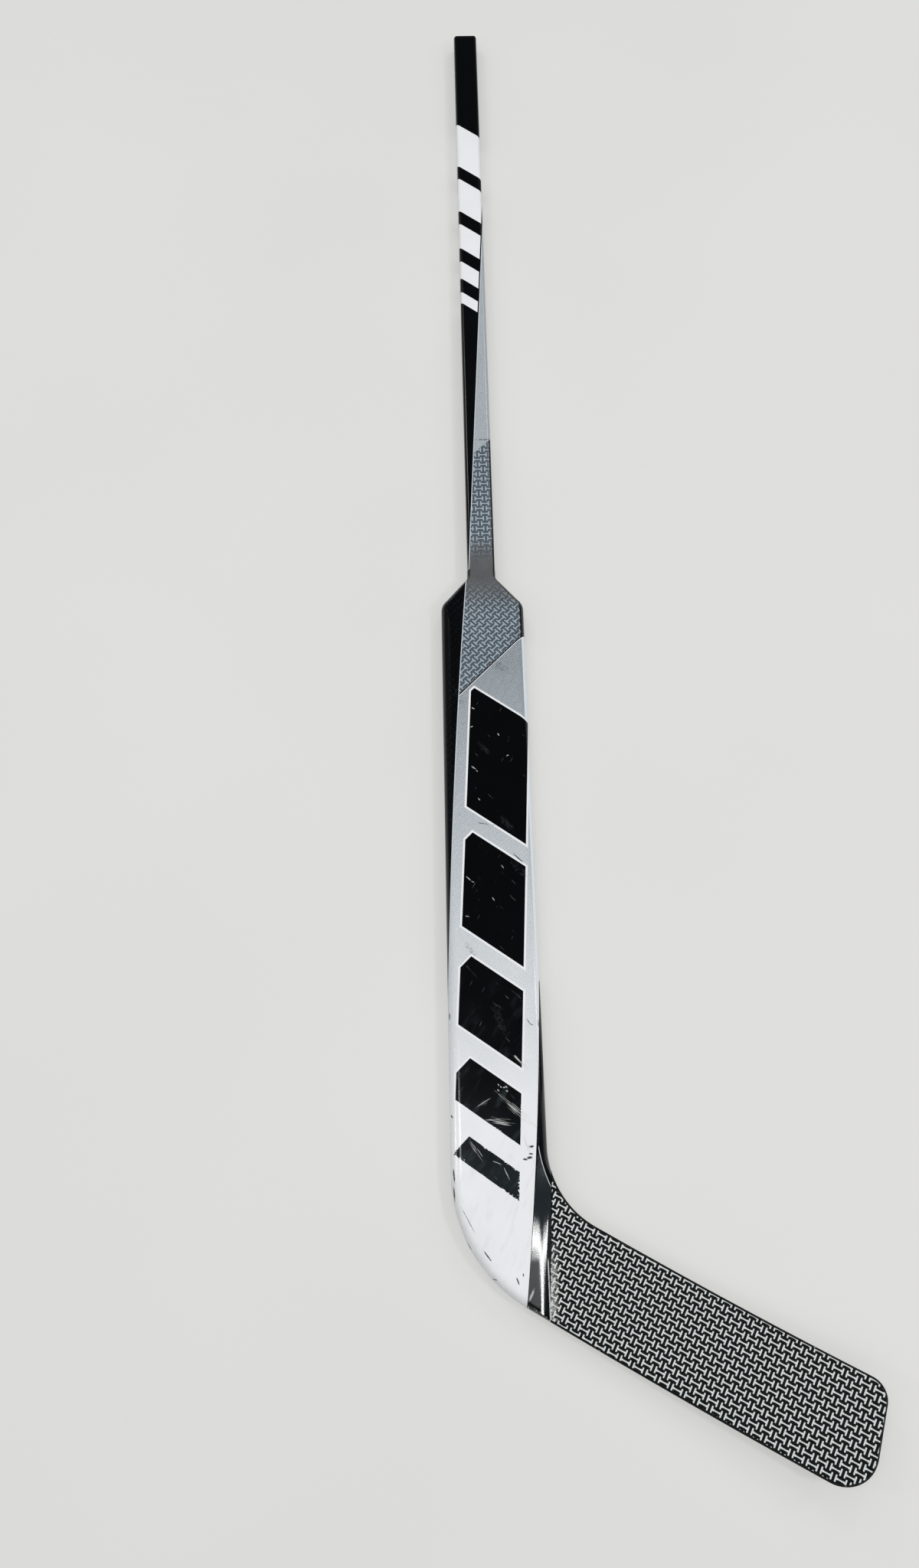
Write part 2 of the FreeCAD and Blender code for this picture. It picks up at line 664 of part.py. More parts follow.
heel_block = cut("heel_block", common("heel_solid", paddle_room, heel_space), blade_tongue)
paddle_left_rail = common("paddle_left_rail", paddle_room, left_edge)
paddle_right_rail = common("paddle_right_rail", paddle_room, right_edge)
paddle_web = common("paddle_web", paddle_room, web_space)
paddle_foam = without("paddle_foam", paddle_room, [shaft_form, web_space])
paddle_left_core = common("paddle_left_core", paddle_foam, left_space)
paddle_right_core = common("paddle_right_core", paddle_foam, right_space)

# Check every object, then write the pieces

pieces = [
    butt_plug, shaft_tube, tenon_plug,
    paddle_front_shell, paddle_back_shell, paddle_left_rail, paddle_right_rail,
    paddle_left_core, paddle_right_core, paddle_web,
    heel_block, heel_front_wrap, heel_back_wrap,
    blade_front_skin, blade_back_skin, blade_edge_band,
    blade_tongue, blade_rib, blade_upper_core, blade_lower_core,
]
doc.recompute()
for item in doc.Objects:
    if "Invalid" in item.State or "Error" in item.State:
        raise RuntimeError(f"{item.Label} failed: {item.State}")
for piece in pieces:
    shape = piece.Shape
    if shape.isNull() or not shape.isValid():
        raise RuntimeError(f"{piece.Label} has no valid shape")
    if len(shape.Solids) != 1:
        raise RuntimeError(f"{piece.Label} is {len(shape.Solids)} solids")

os.makedirs("parts", exist_ok=True)
for piece in pieces:
    piece.Shape.exportStep(f"parts/{piece.Label}.step")
    box = piece.Shape.BoundBox
    low = f"{box.XMin:7.1f} {box.YMin:7.1f} {box.ZMin:6.2f}"
    high = f"{box.XMax:7.1f} {box.YMax:7.1f} {box.ZMax:6.2f}"
    print(f"{piece.Label:20s} {piece.Shape.Volume:10.0f} mm3 from {low} to {high}")
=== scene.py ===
import math

import bpy
from mathutils import Matrix, Vector


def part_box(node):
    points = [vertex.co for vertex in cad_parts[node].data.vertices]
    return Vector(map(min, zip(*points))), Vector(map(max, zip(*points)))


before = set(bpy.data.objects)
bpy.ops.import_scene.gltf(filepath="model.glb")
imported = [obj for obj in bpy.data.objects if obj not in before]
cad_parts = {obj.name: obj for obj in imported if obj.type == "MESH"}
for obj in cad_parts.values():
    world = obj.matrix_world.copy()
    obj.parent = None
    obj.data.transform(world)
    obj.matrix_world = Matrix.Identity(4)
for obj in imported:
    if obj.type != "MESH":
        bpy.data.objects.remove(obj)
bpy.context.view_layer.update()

# Lengths and places in the finishes are millimetres of the part's frame. A pair of values says where
# something starts and where it is full.
MM = 0.001
DIAGONAL = math.sqrt(0.5)

# The heights of the two flat faces that carry the printed graphics.
PADDLE_FACE_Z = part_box("paddle_front_shell")[1][2] / MM
SHAFT_FACE_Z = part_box("shaft_tube")[1][2] / MM

# How soft the rim of a printed shape is. Then where a face tips far enough to be a side, and how softly.
RIM_SOFT = 0.15
PADDLE_SIDE = (0.84, 0.06)
SHAFT_SIDE = (0.87, 0.05)
BLADE_RIM = (0.85, 0.05)

# The paddle's graphics: the black wedge and its keyline, the grip field, the hatching, the border, the
# black hem and the row of blocks.
WEDGE_AT_MIDDLE = -39.9
WEDGE_LEAN = 0.0458
WEDGE_CURL = 0.000057
KEYLINE = 0.9
GRIP_END = 232.5
GRIP_FADE = (348, 296)
GRIP_SOFT = 0.2
GRIP_EDGE_HALF = 0.6
GRIP_LINE_BACK = 0.9
GRIP_LINE_HALF = 0.35
GRIP_BAR_SOFT = 0.3
HATCH_PITCH = 1.27
HATCH_SOFT = 0.1
HATCH_LEAST = 0.04
HATCH_CLEAR_Y = -220
HATCH_GAIN = 0.00126
HATCH_MOST = 0.62
HATCH_FADE = 0.1
BORDER_X = 40.8
BORDER_SOFT = 0.3
HEM_X = 43.4
HEM_Y = -97
HEM_LEAN = 0.0385
HEM_CURL = 0.0001456
HEM_SOFT = 1
HEM_MARGIN = 0.5
PADDLE_BLOCKS = {
    "middle": 3.5, "half": 30.5, "lean": 0.058, "slope": 0.71, "top": 205,
    "lengths": (140, 105, 75, 48, 26), "gap": 24, "cut": 14,
}
BLOCK_RIM = 2

# The shaft's graphics.
SHAFT_WEDGE_AT_MIDDLE = -34.65
SHAFT_WEDGE_LEAN = 0.0575
SEAM_Y = 528.3
SEAM_HALF = 0.5
SHAFT_GRIP_Y = 514.5
SHAFT_GRIP_FADE = (365, 410)
SHAFT_HATCH = 0.5
SHAFT_BLOCKS = {
    "middle": 0, "half": 40, "lean": 0, "slope": 0.8, "top": 1010,
    "lengths": (72, 54, 39, 27, 17), "gap": 21, "cut": 0,
}
SHAFT_BLOCK_MARGIN = 1.5

# The bar weave: two staggered sets of bars, each a stem with a foot across both ends.
STEM_HALF = 0.52
FOOT_AT = 4.2
FOOT_REACH = 2.3
FOOT_ROUND = 0.62
KNOB_BACK = 1.35
KNOB_ROUND = 0.85

# Each weave's centre, its turn in degrees, and its cells' length and height. The blade's centre is measured
# along the blade and up from its lower edge.
PADDLE_WEAVE = ((11.4, 276.8), 45.2, (12.05, 12.4))
SHAFT_WEAVE = ((11.84, 461.95), 0.5, (12.17, 13.1))
BLADE_CELL = (12.05, 11.9)
BLADE_WEAVE_ALONG = 179.28
BLADE_WEAVE_UP = 51.92
BLADE_WEAVE_TURN = 1.87

# The blade's lower corner and fall, a painted sheen beside its heel, a painted shadow and seam along the
# heel's step, its chips and its relief.
BLADE_CORNER = (-44.5, -347.5)
BLADE_FALL = math.radians(30.1)
BLADE_BAR_SOFT = 0.25
BLADE_SHEEN_ACROSS = (9, 0)
BLADE_SHEEN_Y = (-325, -365)
BLADE_SHEEN_STRENGTH = 0.8
BLADE_SEAM_SHADOW_ACROSS = (1.0, 0.6)
BLADE_SEAM_SHADOW_Y = (-352, -342)
RIM_CHIP_STRENGTH = 0.7
BAR_ROUND = 0.5
THREAD_HEIGHT = 0.2
BLADE_RELIEF = 0.12

# The ramp between the paddle and the blade under the twill: its edges, the ply's edge, its pale line of
# painted highlight and wear, and the ribs.
CREASE_TOP = (44.5, -176.5)
CREASE_LEAN = math.tan(math.radians(6.5))
STEP_TOP = (45.7, -296.6)
STEP_LEAN = math.tan(math.radians(3))
PLY_TOP = (36, -249)
PLY_LEAN = 0.11
PLY_CURL = 0.0048
PLY_SOFT = 0.3
PLY_TOP_SOFT = 0.5
PLY_STEP = 0.12
PLY_WEAR_GLINT_HALF = 0.35
PLY_WEAR_GLINT_STARTS = (0, 1)
PLY_WEAR_GLINT_ENDS = (38, 33)
TWILL_LAY = math.radians(54)
TWILL_PITCH = 0.95
RIB_TOP = (0.5, 0.85)
RIB_HEIGHT = 0.007
RIBS_LEVEL = (0.9, 0.7)

# The ramp's relief: a bank, the valley that crosses it and the hollow along its foot.
BANK_X = 34
BANK_TILT = 0.066
BANK_TWIST = 0.0011
BANK_FALL = 0.0187
BANK_BEND = 0.0003
VALLEY_AT = (35.8, -333)
VALLEY_LEAN = 0.035
VALLEY_HALF = 1.9
VALLEY_TILT = 0.037
VALLEY_DEEPENS_BELOW = -17
VALLEY_DEEPENING = 0.0021
HOLLOW_AT = 0.75
RELIEF_Y = (-285, -315)

# Wear on the twill: where it is smooth or rubbed, the pale line of painted highlight and wear along its
# foot, and its chipped lower edge.
SMOOTH_DOWN = (0.74, 0.84)
SMOOTH_Y = (-352, -360)
SMOOTH_STRENGTH = 0.8
HEEL_EDGE = (5, 6.5)
RUBBED_ACROSS = (-1.5, -4)
RUBBED_Y = (-343, -350)
RUBBED_ABOVE_EDGE = (4, 7)
RUBBED_GROUND = 0.4
RUBBED_RIBS = 0.4
FOOT_WEAR_GLINT_X = 40.7
FOOT_WEAR_GLINT_HALF = 0.55
FOOT_WEAR_GLINT_Y = (-344, -349)
FOOT_WEAR_GLINT_BREAKS = (0.26, 0.4)
CHIPPED_EDGE = (3.4, 2.6)
TWILL_SCRAPES = ((22.5, -379, 26.8, -370.5, 2.4),)
TWILL_SCRAPE_STRENGTH = 0.7
CHIP_STRENGTH = 0.85

# Wear and painted shade on the paddle: how far down they start, how wear tears and hazes the blocks, and how
# strong each mark is.
WORN_Y = (-190, -290)
TEAR_START = 0.45
TEAR_SOFT = 0.3
TEAR_DEPTH = 2.4
LOW_HAZE = 0.7
STREAK_HAZE_Y = (-60, -220)
STREAK_HAZE = 0.6
CLEAR_OF_BLOCK = 0.5
CLEAR_SOFT = 0.4
STAIN_STRENGTH = 0.45
SCUFF_STRENGTH = 0.95
PALE_STRENGTH = 0.85
SCRATCH_STRENGTH = 0.3
STREAK_GRIME = 0.14
# Painted shade on the paddle's rounded edges: how steep the rounding must be, and how grey it turns.
ROUNDED_EDGE = (0.97, 0.6)
ROUNDED_SHADE = 0.25

# How ragged the rim of a mark is, how a scrape breaks into lines, and how sharp a hairline is.
MARK_RAGS = 1.6
MARK_REACH = 1.5
MARK_SOFT = 0.4
SCRAPE_LINES = (16, 0.7, 1)
SCRAPE_START = 0.46
SCRAPE_THINS = 0.16
SCRAPE_SOFT = 0.12
SCRAPE_RIM = 1.6
HAIRLINE_SOFT = 0.04

# Fine scratches: their angle in degrees, length, width and rarity.
SCRATCHES = ((60, 22, 0.7, 0.77), (132, 16, 0.6, 0.78))

# Cloudy noise: the size of its patches and its detail, and for wood the angle and the stretch of its grain.
LACQUER_CLOUDS = (30, 3)
LACQUER_PEEL = (1.2, 1)
RAGS = (1.3, 2)
STAIN_RAGS = (6, 4)
GRIP_CLOUDS = (14, 3)
GRIP_SPECKS = (2.5, 3)
BLADE_CLOUDS = (9, 3)
BLADE_THREADS = (0.6, 1)
TWILL_CLOUDS = (20, 3)
PLASTIC_CLOUDS = (8, 3)
PLASTIC_GRAIN = (0.5, 2)
FOAM_CELLS = (1.5, 2)
WOOD_GRAIN = (2.5, 4, 0, (1, 18, 1))

# The share of the clouds in a dirt that is clouds and specks.
CLOUD_SHARE = 0.6

# Patches of noise: their size, detail, start and full value, and for streaks their angle and stretch.
TEARS = (16, 2, 0.46, 0.6)
HAZE_STREAKS = (7, 4, 0.5, 0.8, 55, (3, 1, 1))
WEDGE_PATCHES = (25, 2, 0.3, 0.7)
STAIN_PATCHES = (2.5, 3, 0.35, 0.75)
GRIME_STREAKS = (5, 4, 0.5, 0.8, 65, (4, 1, 1))
ROUNDED_SHADE_PATCHES = (12, 4, 0.3, 0.75)
SEAM_PATCHES = (1.2, 1, 0.4, 0.5)
SHEEN_PATCHES = (2.2, 3, 0.35, 0.6)
RIM_CHIPS = (2.6, 2, 0.68, 0.72)
EDGE_CHIPS = (2.6, 2, 0.56, 0.62)

# Roughness, what clouds, threads, scratches and wear add to it, the depth of the relief, and the gloss.
PADDLE_ROUGH = 0.12
SHAFT_ROUGH = 0.14
BLADE_ROUGH = 0.3
TWILL_ROUGH = 0.06
CLOUDS_ROUGHEN = 0.1
TWILL_CLOUDS_ROUGHEN = 0.08
THREADS_ROUGHEN = 0.1
SCRATCHES_ROUGHEN = 0.25
WEAR_ROUGHENS = 0.3
PADDLE_PEEL = 0.02
SHAFT_PEEL = 0.015
LACQUER_SHINE = 0.3
BLADE_SHINE = 0.16
PLASTIC_ROUGH = (0.32, 0.44)
PLASTIC_DEPTH = 0.02
FOAM_ROUGH = (0.8, 0.9)
FOAM_DEPTH = 0.3
WOOD_ROUGH = (0.55, 0.65)
WOOD_DEPTH = 0.1

# The pale table: its size in metres, the middle and reach of the part that is seen, and its grain. The
# glow is the share of its tone that shadows leave alone, as on a table that is lit from below.
FLOOR_SIZE = 14
FLOOR_MIDDLE = (100, 350)
FLOOR_FADE = (2800, 1700)
FLOOR_CLOUDS = (400, 2)
FLOOR_GRAIN = (3, 2)
FLOOR_GRAIN_DEPTH = 0.02
FLOOR_ROUGH = 0.45
FLOOR_CLOUDS_ROUGHEN = 0.05
FLOOR_GLOW = 0.55

# The camera: the picture's height and the focal length in its pixels, the sensor, the turn and the place.
PICTURE_HEIGHT = 2048
FOCAL_LENGTH = 1538
SENSOR = 36
NEAREST = 0.01
CAMERA_ROLL = math.radians(1.146)
CAMERA_TILT = math.radians(20.8216)
CAMERA_AT = (-37.43, -321.4, 1145.55)

# The room's light by direction: a plain tone, a pale band low on the left and a dim part ahead and overhead.
ROOM_TONE = 0.12
LOW_BAND = 0.3
LOW_BAND_UP = (0.12, 0.02)
LOW_BAND_EAST = (0.2, -0.2)
DIMMED = 0.08
DIM_EAST = (-0.52, -0.28)
DIM_NORTH = (-0.56, -0.32)
DIM_UP = (0.1, 0.3)
BACKDROP = 0.74
CEILING_POWER = 1.62
CEILING_SPREAD = math.radians(110)

# Each lamp's name, place and aim in metres, width, length and power.
LAMPS = (
    ("left_lamp", (-0.42, -0.09, 1.9), (-0.04, -0.2, 0), 0.08, 0.4, 3.5),
    ("low_left_lamp", (-1.9, -0.1, 1.2), (-0.04, -0.2, 0), 0.1, 0.5, 4.5),
    ("right_lamp", (1.26, -0.55, 1.84), (0.03, -0.35, 0), 0.2, 0.2, 8.5),
    ("low_right_lamp", (1.9, 0.3, 1.2), (0.04, 0, 0), 0.1, 0.5, 4),
    ("far_left_lamp", (-1.19, 2.2, 1.9), (0, 0.9, 0), 0.5, 0.8, 10),
    ("far_right_lamp", (1.09, 2.3, 1.9), (0, 0.9, 0), 0.5, 0.8, 10),
)


def srgb(red, green, blue):
    """A colour as the shader takes it, from the values that a screen shows."""
    def linear(value):
        share = value / 255
        return share / 12.92 if share <= 0.04045 else ((share + 0.055) / 1.055) ** 2.4
    return (linear(red), linear(green), linear(blue), 1.0)


INK = srgb(4, 6, 8)
WEAVE_INK = srgb(15, 18, 21)
HAZED_INK = srgb(46, 55, 58)
HATCH_INK = srgb(16, 27, 38)
WHITE = srgb(238, 239, 241)
DULL_WHITE = srgb(226, 228, 231)
COOL_WHITE = srgb(213, 229, 239)
# The grey of the grime streaks and of the painted shade on the paddle's rounded edges.
GRIME_AND_SHADE = srgb(150, 151, 149)
STAIN = srgb(52, 55, 58)
KEYLINE_GREY = srgb(196, 202, 206)
SCUFF = srgb(34, 36, 38)
SCRAPE = srgb(186, 190, 188)
RIM_CHIP = srgb(150, 154, 153)
# A pale tone painted as the sheen on the blade beside the heel.
BLADE_PAINTED_SHEEN = srgb(208, 210, 206)
TWILL_BLACK = srgb(11, 14, 16)
TWILL_RIB = srgb(56, 66, 70)
TWILL_RUBBED = srgb(74, 74, 75)
# The pale tone of the twill's chips and scrapes, and of the painted highlight lines along its step.
TWILL_CHIP_AND_GLINT = srgb(206, 210, 210)

# The darkest and the palest colour of each clouded surface.
GRIP_GROUND = (srgb(61, 72, 82), srgb(95, 105, 113))
GRIP_BARS = (srgb(147, 160, 170), srgb(181, 192, 200))
GRIP_PLAIN = (srgb(76, 78, 81), srgb(104, 105, 107))
BLADE_GROUND = (srgb(6, 9, 9), srgb(17, 20, 21))
BLADE_BARS = (srgb(188, 194, 194), srgb(229, 233, 232))
PLASTIC = (srgb(6, 7, 8), srgb(14, 14, 16))
FOAM = (srgb(214, 206, 182), srgb(236, 230, 210))
WOOD = (srgb(148, 112, 74), srgb(196, 162, 116))
FLOOR = (srgb(219, 219, 216), srgb(224, 224, 222))

# Marks on the paddle's face: both ends and the width of each.
SCUFFS = (
    (2, -121, 1, -131, 1.2), (1, -131, 5, -143, 1.0), (9, -144, 12, -153, 1.2),
    (16, -148, 17, -150, 1.3), (30, -134, 33, -139, 0.9), (33, -139, 36, -140, 0.9),
    (41, -135, 41, -142, 0.9), (-43, -126, -43, -133, 1.2), (-43, -221, -42, -223, 1.6),
    (28.4, -250, 31, -250, 2.4), (27.8, -256.3, 30.2, -256.5, 2.0), (26.2, -259.8, 29, -259.4, 2.8),
    (21.8, -261, 25, -261.2, 2.0), (-12, 63, 0, 61, 0.8), (0, 61, 17, 59, 0.6), (17, 59, 21, 55, 1.0),
    (23, 30, 33, 20, 1.3), (-36, -300, -23, -324, 0.6), (-16, -338, -10, -346, 1.4),
    (-32, -329, -27, -337, 1.1), (-9, -361, -5, -362, 1.0), (12, -360, 14, -366, 1.6),
    (18, -357, 18, -359, 1.2), (-42, -267, -41, -280, 1.7), (-42, -283, -41, -296, 1.5),
)
STAINS = (
    (14, 330, 26, 318, 12), (9, 242, 22, 234, 10), (-30, 212, -25, 196, 7), (14, 66, 22, 56, 9),
    (-8, 150, 2, 138, 6), (32, 268, 38, 284, 7), (22, 20, 34, 8, 8), (-26, -60, -18, -72, 6),
    (0, -122, 8, -146, 8),
)
NICKS = (
    (-24, 7, -20, 3, 1.1), (-19, 2, -17, 1, 0.9), (1, -15, 3, -18, 0.9), (-26, -33, -22, -34, 0.8),
    (-14, 190, -12, 188.5, 1.3), (-16, 168, -14, 169, 1.1), (12, 160, 13, 158, 1.2),
    (-16, 124, -12.5, 121.5, 1.4), (-11.5, 120, -10, 118, 0.8), (-10, 89, -8.5, 87, 0.9),
    (11, 18, 13, 15, 0.8), (20, 135, 22, 136, 1.0), (1, -194, 1.5, -195, 1.4),
    (3, -196, 4, -197, 1.2), (6, -197, 7, -197, 1.3), (8, -196, 9, -197, 1.4),
    (0.5, -199, 1.5, -200, 1.2), (8.5, -200, 9.5, -200.5, 1.4), (-6, -262, 2, -265, 0.7),
    (4, -268, 9, -279, 0.8),
)
SCRAPES = (
    (2, -204, 37, -235, 8), (-9, -226, 10, -229, 9), (-28, -242, -16, -260, 5),
    (22, -238, 30, -262, 4), (-20, -214, -6, -206, 3), (14, -166, 30, -182, 4),
)


class Field:
    """A value that changes over a surface: a node's output, with arithmetic that adds nodes."""

    def __init__(self, graph, socket):
        self.graph = graph
        self.socket = socket

    def __add__(self, other):
        return self.graph.math("ADD", self, other)

    def __sub__(self, other):
        return self.graph.math("SUBTRACT", self, other)

    def __rsub__(self, other):
        return self.graph.math("SUBTRACT", other, self)

    def __mul__(self, other):
        return self.graph.math("MULTIPLY", self, other)

    def __truediv__(self, other):
        return self.graph.math("DIVIDE", self, other)

    __radd__ = __add__
    __rmul__ = __mul__

    def __abs__(self):
        return self.graph.math("ABSOLUTE", self)

    def __invert__(self):
        return 1 - self

    def least(self, other):
        return self.graph.math("MINIMUM", self, other)

    def most(self, other):
        return self.graph.math("MAXIMUM", self, other)

    def wrapped(self, length):
        """The distance from the nearest multiple of a length, with its sign."""
        return self.graph.math("WRAP", self, length / 2, -length / 2)

    def rise(self, low, high):
        """0 below low, 1 above high, and a smooth step between. low may be the larger of the two."""
        node = self.graph.node("ShaderNodeMapRange", interpolation_type="SMOOTHSTEP")
        values = (self, low, high) if low < high else (self, high, low)
        for socket, value in zip(node.inputs, values):
            self.graph.put(socket, value)
        share = Field(self.graph, node.outputs[0])
        return share if low < high else ~share

    def inside(self, softness=RIM_SOFT):
        """1 where a distance is negative, 0 where it is positive."""
        return self.rise(softness, -softness)


class Graph:
    """A node tree, and what adds nodes to it. Each node is added after those that it reads."""

    def __init__(self, tree):
        self.tree = tree

    def put(self, socket, value):
        if isinstance(value, Field):
            value = value.socket
        if isinstance(value, bpy.types.NodeSocket):
            self.tree.links.new(value, socket)
        else:
            socket.default_value = value

    def node(self, kind, **settings):
        node = self.tree.nodes.new(kind)
        for key, setting in settings.items():
            setattr(node, key, setting)
        return node

    def math(self, operation, *values):
        node = self.node("ShaderNodeMath", operation=operation)
        for socket, value in zip(node.inputs, values):
            self.put(socket, value)
        return Field(self, node.outputs[0])

    def length(self, across, along):
        return self.math("SQRT", across * across + along * along)

    def parts(self, vector):
        node = self.node("ShaderNodeSeparateXYZ")
        self.put(node.inputs[0], vector)
        return [Field(self, socket) for socket in node.outputs]

    def mix(self, share, below, above):
        """One colour over another."""
        node = self.node("ShaderNodeMix", data_type="RGBA")
        self.put(node.inputs["Factor"], share)
        colours = [socket for socket in node.inputs if socket.type == "RGBA"]
        self.put(colours[0], below)
        self.put(colours[1], above)
        return [socket for socket in node.outputs if socket.type == "RGBA"][0]


class Finish(Graph):
    """A material and the nodes that make it. Lengths in it are millimetres."""

    def __init__(self, name):
        self.material = bpy.data.materials.new(name)
        self.material.use_nodes = True
        super().__init__(self.material.node_tree)
        self.shader = self.tree.nodes["Principled BSDF"]
        self.spot = self.node("ShaderNodeTexCoord")
        self.x, self.y, self.z = self.parts(self.local())
        self.facing = abs(self.parts(self.spot.outputs["Normal"])[2])

    def local(self, centre=(0, 0), turn=0, stretch=(1, 1, 1)):
        """Object coordinates in millimetres, from a centre, turned by an angle and in stretched units."""
        node = self.node("ShaderNodeMapping", vector_type="TEXTURE")
        self.put(node.inputs["Vector"], self.spot.outputs["Object"])
        node.inputs["Location"].default_value = (centre[0] * MM, centre[1] * MM, 0)
        node.inputs["Rotation"].default_value = (0, 0, math.radians(turn))
        node.inputs["Scale"].default_value = [part * MM for part in stretch]
        return node.outputs["Vector"]

    def noise(self, size, detail, turn=0, stretch=(1, 1, 1)):
        """Cloudy noise from 0 to 1, with patches of about a size."""
        vector = self.local((0, 0), turn, [part * size for part in stretch])
        node = self.node("ShaderNodeTexNoise")
        self.put(node.inputs["Vector"], vector)
        node.inputs["Scale"].default_value = 1
        node.inputs["Detail"].default_value = detail
        return Field(self, node.outputs["Fac"])

    def patches(self, size, detail, start, full, turn=0, stretch=(1, 1, 1)):
        """1 in the patches of a noise, 0 between them."""
        return self.noise(size, detail, turn, stretch).rise(start, full)

    def tipped(self, limit, softness):
        """1 on sides and rims, 0 on faces that are nearly level."""
        return (self.facing - limit).inside(softness)

    def done(self, colour, roughness, height, depth, shine=LACQUER_SHINE):
        """Link the colour, the roughness and a relief, whose depth is in millimetres."""
        self.shader.inputs["Specular IOR Level"].default_value = shine
        self.put(self.shader.inputs["Base Color"], colour)
        self.put(self.shader.inputs["Roughness"], roughness)
        bump = self.node("ShaderNodeBump")
        bump.inputs["Distance"].default_value = depth * MM
        self.put(bump.inputs["Height"], height)
        self.put(self.shader.inputs["Normal"], bump.outputs[0])
        return self.material


def bar_weave(finish, centre, turn, cell):
    """Distance to the nearest bar of the weave, negative inside it."""
    along, across, _ = finish.parts(finish.local(centre, turn))
    length, height = cell
    nearest = None
    for stagger in (0, 0.5):
        far = abs((along - stagger * length).wrapped(length))
        aside = abs((across - stagger * height).wrapped(height))
        stem = (far - FOOT_AT).most(aside - STEM_HALF)
        foot = finish.length(far - FOOT_AT, (aside - FOOT_REACH).most(0)) - FOOT_ROUND
        knob = finish.length(far - (FOOT_AT - KNOB_BACK), aside) - KNOB_ROUND
        bar = stem.least(foot).least(knob)
        nearest = bar if nearest is None else nearest.least(bar)
    return nearest


def reach(finish, stroke):
    """How far out a place is in the oval round a stroke, 1 on its rim, and the stroke's angle."""
    x0, y0, x1, y1, width = stroke
    turn = math.degrees(math.atan2(y1 - y0, x1 - x0))
    half = math.hypot(x1 - x0, y1 - y0) / 2 + width / 2
    vector = finish.local(((x0 + x1) / 2, (y0 + y1) / 2), turn, (half, width / 2, 1))
    along, across, _ = finish.parts(vector)
    return along * along + across * across, turn


def marks(finish, strokes, ragged):
    """1 on any of a set of strokes, with ragged edges."""
    nearest = None
    for stroke in strokes:
        out, _ = reach(finish, stroke)
        nearest = out if nearest is None else nearest.least(out)
    return (nearest + ragged * MARK_RAGS - MARK_REACH).inside(MARK_SOFT)


def scrapes(finish, strokes):
    """1 on the fine lines of broad scrapes, thick in the middle of each and thin at its rim."""
    total = None
    for stroke in strokes:
        out, turn = reach(finish, stroke)
        lines = finish.noise(1, 3, turn, SCRAPE_LINES)
        scrape = (lines - SCRAPE_START - out * SCRAPE_THINS).rise(0, SCRAPE_SOFT) * out.rise(SCRAPE_RIM, 1)
        total = scrape if total is None else total.most(scrape)
    return total


def hairlines(finish, turn, length, width, rarity):
    """Fine scratches along one direction, 1 where one is."""
    return finish.patches(1, 1, rarity, rarity + HAIRLINE_SOFT, turn, (length, width, length))


def hatch(finish, share, face_z):
    """Fine slanted lines that cover a share of the surface, from a face at a height down its two sides."""
    unrolled = finish.x + finish.math("SIGN", finish.x) * (face_z - finish.z).most(0)
    across = abs(((unrolled - finish.y) * DIAGONAL).wrapped(HATCH_PITCH)) * (2 / HATCH_PITCH)
    return (across - share).inside(HATCH_SOFT)


def slanted_blocks(finish, middle, half, lean, slope, top, lengths, gap, cut):
    """Distance to a row of blocks with slanted ends and a cut corner, each shorter than the one before."""
    x, y = finish.x, finish.y
    sides = abs(x - y * lean - middle) - half
    down = y + x * slope
    squash = 1 / math.hypot(1, slope)
    nearest = None
    start = top
    for length in lengths:
        ends = (abs(down - (start - length / 2)) - length / 2) * squash
        corner_y = start - slope * (middle - half)
        corner_x = middle - half + corner_y * lean
        corner = (y - x - (corner_y - corner_x - cut)) * DIAGONAL
        block = sides.most(ends).most(corner)
        nearest = block if nearest is None else nearest.least(block)
        start -= length + gap
    return nearest


def grip_colour(finish, weave, shown):
    """Pale bars on blue-grey, lost in plain grey where they aren't shown."""
    clouds = finish.noise(*GRIP_CLOUDS)
    dirt = clouds * CLOUD_SHARE + finish.noise(*GRIP_SPECKS) * (1 - CLOUD_SHARE)
    ground = finish.mix(dirt, *GRIP_GROUND)
    bars = finish.mix(dirt, *GRIP_BARS)
    woven = finish.mix(weave.inside(GRIP_BAR_SOFT), ground, bars)
    plain = finish.mix(dirt, *GRIP_PLAIN)
    return finish.mix(shown, plain, woven)


